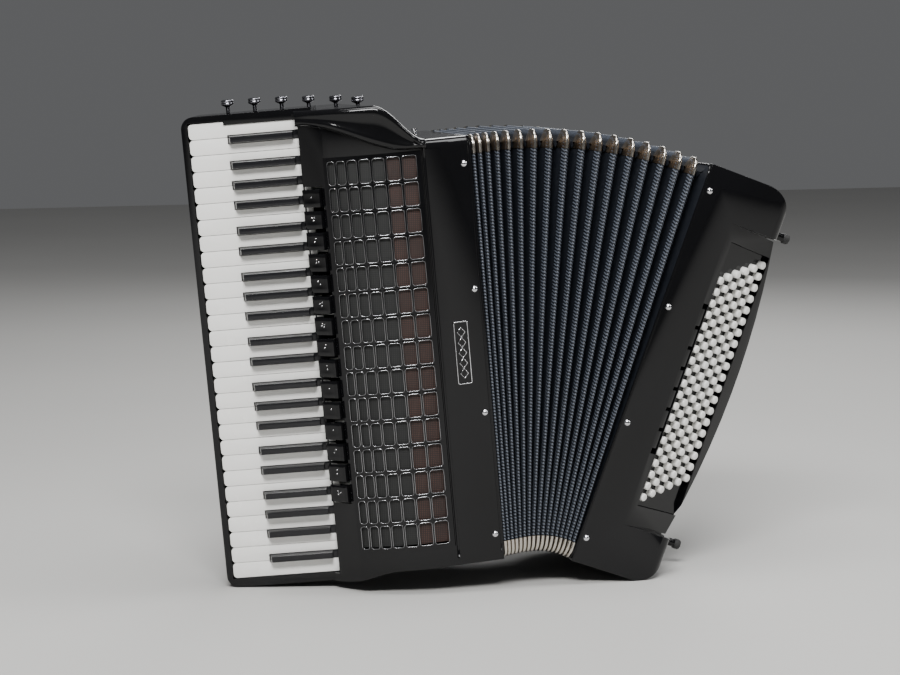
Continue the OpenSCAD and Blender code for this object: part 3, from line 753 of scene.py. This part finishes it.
def ridge_path(step):
    """Points of the ridge's rectangle with rounded corners: (y, z, inward y, inward z, distance from a corner)."""
    y0, y1 = RIDGE_INSET, CASE_D - RIDGE_INSET
    z0, z1 = RIDGE_INSET, CASE_H - RIDGE_INSET
    r = CORNER_R
    points = []

    def line(ya, za, yb, zb, ny, nz):
        length = math.hypot(yb - ya, zb - za)
        n = max(2, round(length / step))
        for i in range(n):
            t = i / n
            away = min(t, 1 - t) * length
            points.append((ya + (yb - ya) * t, za + (zb - za) * t, ny, nz, away))

    def corner(cy, cz, start):
        n = max(4, round(r * math.pi / 2 / step))
        for i in range(n):
            a = math.radians(start + 90 * i / n)
            points.append((cy + r * math.cos(a), cz + r * math.sin(a), -math.cos(a), -math.sin(a), 0))

    line(y0, z0 + r, y0, z1 - r, 1, 0)
    corner_points = ((y0 + r, z1 - r, 180, -1), (y1 - r, z1 - r, 90, -1), (y1 - r, z0 + r, 0, -1), (y0 + r, z0 + r, 270, -1))

    def corner_back(cy, cz, start):
        n = max(4, round(r * math.pi / 2 / step))
        for i in range(n):
            a = math.radians(start - 90 * i / n)
            points.append((cy + r * math.cos(a), cz + r * math.sin(a), -math.cos(a), -math.sin(a), 0))

    corner_back(*corner_points[0][:3])
    line(y0 + r, z1, y1 - r, z1, 0, -1)
    corner_back(*corner_points[1][:3])
    line(y1, z1 - r, y1, z0 + r, -1, 0)
    corner_back(*corner_points[2][:3])
    line(y1 - r, z0, y0 + r, z0, 0, 1)
    corner_back(*corner_points[3][:3])
    return points


def ring_matrix(n):
    """Treble-frame matrix of ring n (halves allowed for the planes between rings)."""
    low = math.floor(n)
    s = share(low) if n == low else (share(low) + share(low + 1)) / 2
    turn = AT_PIVOT @ Matrix.Rotation(FAN * s, 4, "Y") @ AT_PIVOT.inverted()
    return turn @ Matrix.Translation((FOLD_PITCH * n, 0, 0))


def as_array(matrix):
    return np.array(matrix)


def transformed(matrix, pts):
    m = as_array(matrix)
    return pts @ m[:3, :3].T + m[:3, 3]


def strip_faces(n, rows, closed=True):
    faces = []
    for i in range(n if closed else n - 1):
        j = (i + 1) % n
        for k in range(rows - 1):
            faces.append((i * rows + k, i * rows + k + 1, j * rows + k + 1, j * rows + k))
    return faces


def gap_blend(obj):
    """Bakes a piece's placement in one gap of the bellows into its mesh."""
    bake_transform(obj)


def gap_surface(gap, path, fractions, lift):
    """Points of one gap's V: from ridge gap (left) or ridge gap + 1 (right) towards the valley between them."""
    p = np.array(path)
    valley = np.stack([np.zeros(len(p)), p[:, 0] + p[:, 2] * VALLEY, p[:, 1] + p[:, 3] * VALLEY], 1)
    middle = transformed(ring_matrix(gap + 0.5), valley)
    rows = []
    for side, ring in ((-1, gap), (1, gap + 1)):
        half = 1.1 if 0 < ring <= FOLDS else 1.3
        ridge = np.stack([np.full(len(p), -side * half), p[:, 0], p[:, 1]], 1)
        ridge = transformed(ring_matrix(ring), ridge)
        leg = middle - ridge
        normal = np.cross(np.roll(ridge, -1, 0) - ridge, leg)
        normal /= np.linalg.norm(normal, axis=1)[:, None]
        inward = transformed(ring_matrix(ring), np.stack([np.full(len(p), -side * 10.0), p[:, 0], p[:, 1]], 1)) - ridge
        normal *= np.sign((normal * inward).sum(1))[:, None]
        rows.append([ridge + leg * f + normal * (lift(f) if np.isscalar(lift(f)) else lift(f)[:, None]) for f in fractions])
    return rows


def build_leaves():
    path = ridge_path(12)
    n = len(path)
    for gap in range(FOLDS + 1):
        fractions = (0.0, 0.34, 0.7, 1.0)
        left, right = gap_surface(gap, path, fractions, lambda f: 0.0)
        rows = left + right[-2::-1]
        verts = np.stack(rows, 1).reshape(-1, 3)
        obj = make_object(f"bellows_leaf_{gap:02d}", verts, strip_faces(n, len(rows)), CARD, TREBLE)
        if gap == 0:
            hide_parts("bellows_leaves")
        smooth_by_angle(obj, 50)
        gap_blend(obj)


def rope_turns(path, across):
    """Running length of a path in rope pitches, slanted by how far across the tape each point lies."""
    n = len(path)
    turns = round(n * ROPE_STEP / ROPE_PITCH)
    return turns * np.arange(n) / n + ROPE_SLANT * across, turns


def rope_bulge(turns):
    return 0.5 - 0.5 * np.cos(2 * math.pi * turns)


def ring_grid(n, rows, first=0):
    """Faces of a closed band of n columns, and the number of whole turns each corner has wrapped."""
    faces, wraps = [], []
    for i in range(n):
        j = (i + 1) % n
        for k in range(rows - 1):
            faces.append((first + i * rows + k, first + i * rows + k + 1, first + j * rows + k + 1, first + j * rows + k))
            wraps.extend((0, 0, j == 0, j == 0))
    return faces, wraps


def set_turns(obj, turns, wraps, whole):
    """Writes the running length into the mesh for the rope material."""
    layer = obj.data.uv_layers.new(name="turns")
    index = np.empty(len(obj.data.loops), dtype=int)
    obj.data.loops.foreach_get("vertex_index", index)
    u = np.array(turns)[index] + np.array(wraps[:len(index)]) * whole
    layer.data.foreach_set("uv", np.stack([u, np.zeros(len(u))], 1).ravel())


def build_tapes():
    """Ribbed tape down both sides of each ridge."""
    path = ridge_path(ROPE_STEP)
    n = len(path)
    fractions = (0.0, 0.11, 0.22, TAPE)
    rows = len(fractions)
    for gap in range(FOLDS + 1):
        verts, faces, wraps, turns = [], [], [], []
        for leg in range(2):
            if (gap == 0 and leg == 0) or (gap == FOLDS and leg == 1):
                continue
            side = 1 if leg == 0 else -1
            whole = rope_turns(path, 0.0)[1]

            def lift(f):
                if f in (0.0, TAPE):
                    return np.full(n, 0.05)
                return 0.15 + 0.9 * rope_bulge(rope_turns(path, side * (1.1 + f * VALLEY))[0])
            grid = gap_surface(gap, path, fractions, lift)[leg]
            more, wrapped = ring_grid(n, rows, len(verts))
            verts.extend(np.stack(grid, 1).reshape(-1, 3))
            at = [rope_turns(path, side * (1.1 + f * VALLEY))[0] for f in fractions]
            turns.extend(np.stack(at, 1).ravel())
            faces.extend(more)
            wraps.extend(wrapped)
        obj = make_object(f"bellows_tape_{gap:02d}", verts, faces, ROPE, TREBLE)
        set_turns(obj, turns, wraps, whole)
        gap_blend(obj)


def corner_runs(path):
    """Stretches of a path round each corner, as far as the metal caps reach."""
    n = len(path)
    inside = [p[4] < CAP_LENGTH - CORNER_R for p in path]
    start = inside.index(False)
    runs, run = [], []
    for i in range(start, start + n + 1):
        if inside[i % n]:
            run.append(i % n)
        elif run:
            runs.append(run)
            run = []
    return runs


def build_cap_flanks():
    """Metal down the flanks of the folds at the four corners, a darker, browner copy of the cap metal as painted
    shade.
    """
    path = ridge_path(2.6)
    fractions = (0.0, 0.08, 0.4, CAP_FLANK_REACH)
    rows = len(fractions)
    for gap in range(FOLDS + 1):
        legs = gap_surface(gap, path, fractions, lambda f: 0.9 if 0 < f < 0.5 else 0.35)
        parts = []
        for leg in range(2):
            if (gap == 0 and leg == 0) or (gap == FOLDS and leg == 1):
                continue
            grid = np.stack(legs[leg], 1)
            for run in corner_runs(path):
                verts = grid[run].reshape(-1, 3).tolist()
                parts.append((verts, strip_faces(len(run), rows, closed=False)))
        obj = make_object(f"cap_flank_{gap:02d}", *many(parts), PAINTED_SHADE_CAP_FLANK, TREBLE)
        gap_blend(obj)


def build_ridges():
    """The ribbed bead on each ridge, its colour darkened in the grooves as painted shade, and the bright corner caps
    over it, tinted warm as painted reflection.
    """
    path = ridge_path(ROPE_STEP)
    coarse = ridge_path(2.6)
    n = len(path)
    section = ((-1.1, 0.0), (-0.6, 0.6), (0.6, 0.6), (1.1, 0.0))
    cap_section = ((-1.9, -2.2), (-1.75, 0.6), (-1.0, 1.25), (0.0, 1.5), (1.0, 1.25), (1.75, 0.6), (1.9, -2.2))
    for f in range(1, FOLDS + 1):
        node = f"fold_{f:02d}"
        verts = np.empty((n, len(section), 3))
        turns = np.empty((n, len(section)))
        for k, (x, out) in enumerate(section):
            turns[:, k], whole = rope_turns(path, x)
            swell = out * (0.5 + rope_bulge(turns[:, k]))
            verts[:, k, 0] = x
            verts[:, k, 1] = [p[0] for p in path] - np.array([p[2] for p in path]) * swell
            verts[:, k, 2] = [p[1] for p in path] - np.array([p[3] for p in path]) * swell
        faces, wraps = ring_grid(n, len(section))
        bead = make_object(node + "_bead", verts.reshape(-1, 3), faces, ROPE, TREBLE @ ring_matrix(f))
        set_turns(bead, turns.ravel(), wraps, whole)
        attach(bead, node + "_body")
        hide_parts(node)
        parts = []
        for run in corner_runs(coarse):
            verts = []
            for p in (coarse[i] for i in run):
                verts.extend((x, p[0] - p[2] * out, p[1] - p[3] * out) for x, out in cap_section)
            parts.append((verts, strip_faces(len(run), len(cap_section), closed=False)))
        caps = make_object(node + "_caps", *many(parts), CAP_METAL_PAINTED_REFLECTION, TREBLE @ ring_matrix(f))
        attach(caps, node + "_body")


def build_end_mouldings():
    """Polished bead round each end of the bellows."""
    path = ridge_path(6)
    for name, body, x, place in (("treble_moulding", "treble", 1.5, TREBLE), ("bass_moulding", "bass", -1.5, BASS)):
        points = [(x, p[0] + p[2] * 0.6, p[1] + p[3] * 0.6) for p in path]
        out = [Vector((0, -p[2], -p[3])) for p in path]
        obj = make_object(name, *tube(points, 1.2, 8, across=out), LACQUER, place)
        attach(obj, body)


# ---------- bass side ----------

BUTTON_COLUMNS = ("counterbass", "fundamental", "major", "minor", "seventh", "diminished")
BUTTON_X0, COLUMN_PITCH = 19.0, 13.8
BUTTON_Z0, BUTTON_PITCH, BUTTON_ROWS = 370.0, 14.37, 20


def build_buttons():
    profile = [(1.2, -25), (1.2, -11.5), (4.7, -11.5), (4.7, 0.2), (4.55, 0.75), (4.1, 1.2), (3.3, 1.5), (1.6, 1.62),
               (0.2, 1.64)]
    outward = Matrix.Rotation(math.radians(90), 4, "X")
    for c, name in enumerate(BUTTON_COLUMNS):
        parts = []
        for r in range(BUTTON_ROWS):
            z = BUTTON_Z0 + BUTTON_PITCH / 2 * c - BUTTON_PITCH * r
            spot = Matrix.Translation((BUTTON_X0 + COLUMN_PITCH * c, 0.1, z))
            parts.append(moved(lathe(profile, 24), spot @ outward))
        obj = make_object(f"bass_buttons_{name}", *many(parts), IVORY, BOARD)
        smooth_by_angle(obj, 60)
        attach(obj, f"buttons_{name}_body")
        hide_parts(f"buttons_{name}")


STRAP_Z0, STRAP_Z1, STRAP_SAG, STRAP_T = 96.0, 440.0, 32.0, 4.0
STRAP_Y0, STRAP_Y1 = 96.0, 160.0


def build_strap():
    """Padded leather band with rounded edges and two rows of stitches."""
    half = (STRAP_Z1 - STRAP_Z0) / 2
    radius = (half ** 2 + STRAP_SAG ** 2) / (2 * STRAP_SAG)
    cx = BASS_W + 0.3 + STRAP_SAG - radius
    mid = (STRAP_Z0 + STRAP_Z1) / 2
    end = math.asin(half / radius)
    steps, across = 72, 22
    verts, faces, stitches = [], [], []
    width = STRAP_Y1 - STRAP_Y0

    def point(a, y, r):
        return (cx + r * math.cos(a), y, mid + r * math.sin(a))

    for i in range(steps + 1):
        a = -end + 2 * end * i / steps
        loop = []
        for k in range(across):
            t = 2 * math.pi * k / across
            cy, cr = math.cos(t), math.sin(t)
            sy = math.copysign(abs(cy) ** 0.35, cy)
            sr = math.copysign(abs(cr) ** 0.6, cr)
            pad = 1 - 0.28 * (1 - abs(sy)) ** 0.5 * 0 + 0.0
            loop.append(point(a, STRAP_Y0 + width / 2 * (1 + sy * 0.995), radius + STRAP_T / 2 * (1 + sr * pad)))
        verts.extend(loop)
    faces = strip_faces(steps + 1, across, closed=False)
    for i in range(steps):
        a, b = i * across + across - 1, i * across
        faces.append((a, b, b + across, a + across))
    for y in (STRAP_Y0 + 4, STRAP_Y1 - 4):
        count = 84
        for k in range(count):
            a = -end * 0.97 + 2 * end * 0.97 * (k + 0.2) / count
            b = a + 2 * end * 0.97 * 0.6 / count
            path = [point(a + (b - a) * s, y, radius + STRAP_T - 0.35 + 0.35 * math.sin(math.pi * s)) for s in (0, 0.5, 1)]
            stitches.append(tube(path, 0.35, 5, closed=False))
    obj = make_object("hand_strap", verts, faces, LEATHER, BASS)
    fix_normals(obj)
    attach(obj, "bass")
    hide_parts("bass_strap")
    seam = make_object("hand_strap_stitches", *many(stitches), THREAD, BASS)
    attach(seam, "bass")


def build_feet():
    turned = Matrix.Rotation(math.radians(90), 4, "Y")
    pegs, tips = [], []
    for z in (51.0, CASE_H - 48.0):
        for y in (68.0, 182.0):
            spot = Matrix.Translation((BASS_W - 3, y, z)) @ turned
            pegs.append(moved(lathe([(6.6, 2.6), (6.6, 4.2), (5.4, 5.2), (4.9, 6.0), (4.6, 20), (4.9, 33), (5.0, 34)], 28), spot))
            tips.append(moved(lathe([(5.2, 33.6), (6.0, 34.4), (6.2, 35.4), (6.2, 39.6), (5.7, 41.2), (4.4, 41.9), (0.3, 42)], 28), spot))
    peg = make_object("foot_pegs", *many(pegs), LACQUER, BASS)
    smooth_by_angle(peg, 45)
    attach(peg, "bass")
    tip = make_object("foot_tips", *many(tips), RUBBER, BASS)
    smooth_by_angle(tip, 45)
    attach(tip, "bass")
    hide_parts("bass_feet")


def build_wheel():
    """Knurled adjuster wheel on its axle."""
    teeth, depth = 36, 0.7
    verts, faces = [], []
    heights = ((0, 0.88), (0.8, 1.0), (16.4, 1.0), (17.2, 0.88))
    n = teeth * 4
    for h, scale in heights:
        for k in range(n):
            r = (12 - depth * (k % 4 in (2, 3))) * scale
            a = 2 * math.pi * k / n
            verts.append((r * math.cos(a), r * math.sin(a), h))
    for i in range(3):
        for k in range(n):
            m = (k + 1) % n
            faces.append((i * n + k, i * n + m, (i + 1) * n + m, (i + 1) * n + k))
    faces.append(tuple(range(n))[::-1])
    faces.append(tuple(3 * n + k for k in range(n)))
    axle = lathe([(1.7, -4), (2.0, -3.6), (2.0, 20.8), (1.7, 21.2)], 20)
    place = Matrix.Translation((BASS_W + 15, 123.4, 458)) @ Matrix.Rotation(math.radians(-90), 4, "X")
    obj = make_object("strap_adjuster", *many([(verts, faces), axle]), GUNMETAL, BASS @ place)
    smooth_by_angle(obj, 25)
    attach(obj, "strap_wheel_body")
    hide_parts("strap_wheel")


def build_air_button():
    profile = [(2.5, 0), (2.5, 7.8), (7.4, 8.0), (8.0, 8.8), (8.0, 20.2), (7.6, 21.2), (6.4, 21.8), (3.0, 21.5), (0.3, 21.4)]
    place = Matrix.Translation((BASS_W - 14, 92, 380)) @ Matrix.Rotation(math.radians(90), 4, "Y")
    obj = make_object("air_release", *lathe(profile, 32), IVORY, BASS @ place)
    smooth_by_angle(obj, 45)
    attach(obj, "air_button_body")
    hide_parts("air_button")


def build_bass():
    rounded_copy("bass_case", LACQUER, 3.0, 4)
    rounded_copy("bass_bellows_frame", LACQUER, 0.4)
    rounded_copy("bass_registers", LACQUER, 0.9)
    paint("bass_button_plate", LACQUER)
    paint("bass_fittings", CHROME)
    paint("bass_mechanism", ALUMINIUM)
    paint("bass_reed_blocks", WOOD)
    build_buttons()
    build_strap()
    build_feet()
    build_wheel()
    build_air_button()


# ---------- studio ----------

CAMERA_AIM = Vector((-0.0608, -0.0326, 0.2912))
CAMERA_AZIMUTH, CAMERA_ELEVATION, CAMERA_ROLL = -14.66, 7.21, -0.46
CAMERA_DISTANCE, CAMERA_LENS = 2.6, 88.15


def add_camera():
    a, e = math.radians(CAMERA_AZIMUTH), math.radians(CAMERA_ELEVATION)
    back = Vector((math.sin(a) * math.cos(e), -math.cos(a) * math.cos(e), math.sin(e)))
    data = bpy.data.cameras.new("camera")
    data.lens = CAMERA_LENS
    data.sensor_width = 36
    cam = bpy.data.objects.new("camera", data)
    cam.rotation_mode = "QUATERNION"
    roll = Matrix.Rotation(math.radians(CAMERA_ROLL), 3, "Z").to_quaternion()
    cam.rotation_quaternion = back.to_track_quat("Z", "Y") @ roll
    cam.location = CAMERA_AIM + back * CAMERA_DISTANCE
    bpy.context.scene.collection.objects.link(cam)
    bpy.context.scene.camera = cam


def add_area(name, place, aim, size, size_y, watts):
    light = bpy.data.lights.new(name, "AREA")
    light.shape = "RECTANGLE"
    light.size = size
    light.size_y = size_y
    light.energy = watts
    obj = bpy.data.objects.new(name, light)
    obj.location = place
    obj.rotation_mode = "QUATERNION"
    obj.rotation_quaternion = (Vector(place) - Vector(aim)).to_track_quat("Z", "Y")
    bpy.context.scene.collection.objects.link(obj)


def add_studio():
    bpy.ops.mesh.primitive_plane_add(size=14, location=(0, 0, -0.0005))
    floor = bpy.context.object
    floor.name = "floor"
    floor.data.materials.append(backdrop_material())
    world = bpy.data.worlds.new("studio")
    world.use_nodes = True
    world.node_tree.nodes["Background"].inputs["Color"].default_value = (0.72, 0.73, 0.75, 1)
    world.node_tree.nodes["Background"].inputs["Strength"].default_value = 0.16
    bpy.context.scene.world = world
    middle = (0, 0, 0.3)
    add_area("key_light", (-0.9, -2.3, 2.7), middle, 1.8, 0.8, 170)
    add_area("fill_light", (3.0, -1.0, 2.4), middle, 0.8, 1.2, 40)
    add_area("top_light", (0.1, -0.3, 2.8), middle, 2.0, 1.2, 60)
    add_area("rim_light", (1.2, 2.4, 1.8), middle, 1.4, 1.0, 30)
    add_camera()


build_keys()
build_chin_registers()
build_treble_case()
build_leaves()
build_tapes()
build_cap_flanks()
build_ridges()
build_end_mouldings()
build_bass()
add_studio()
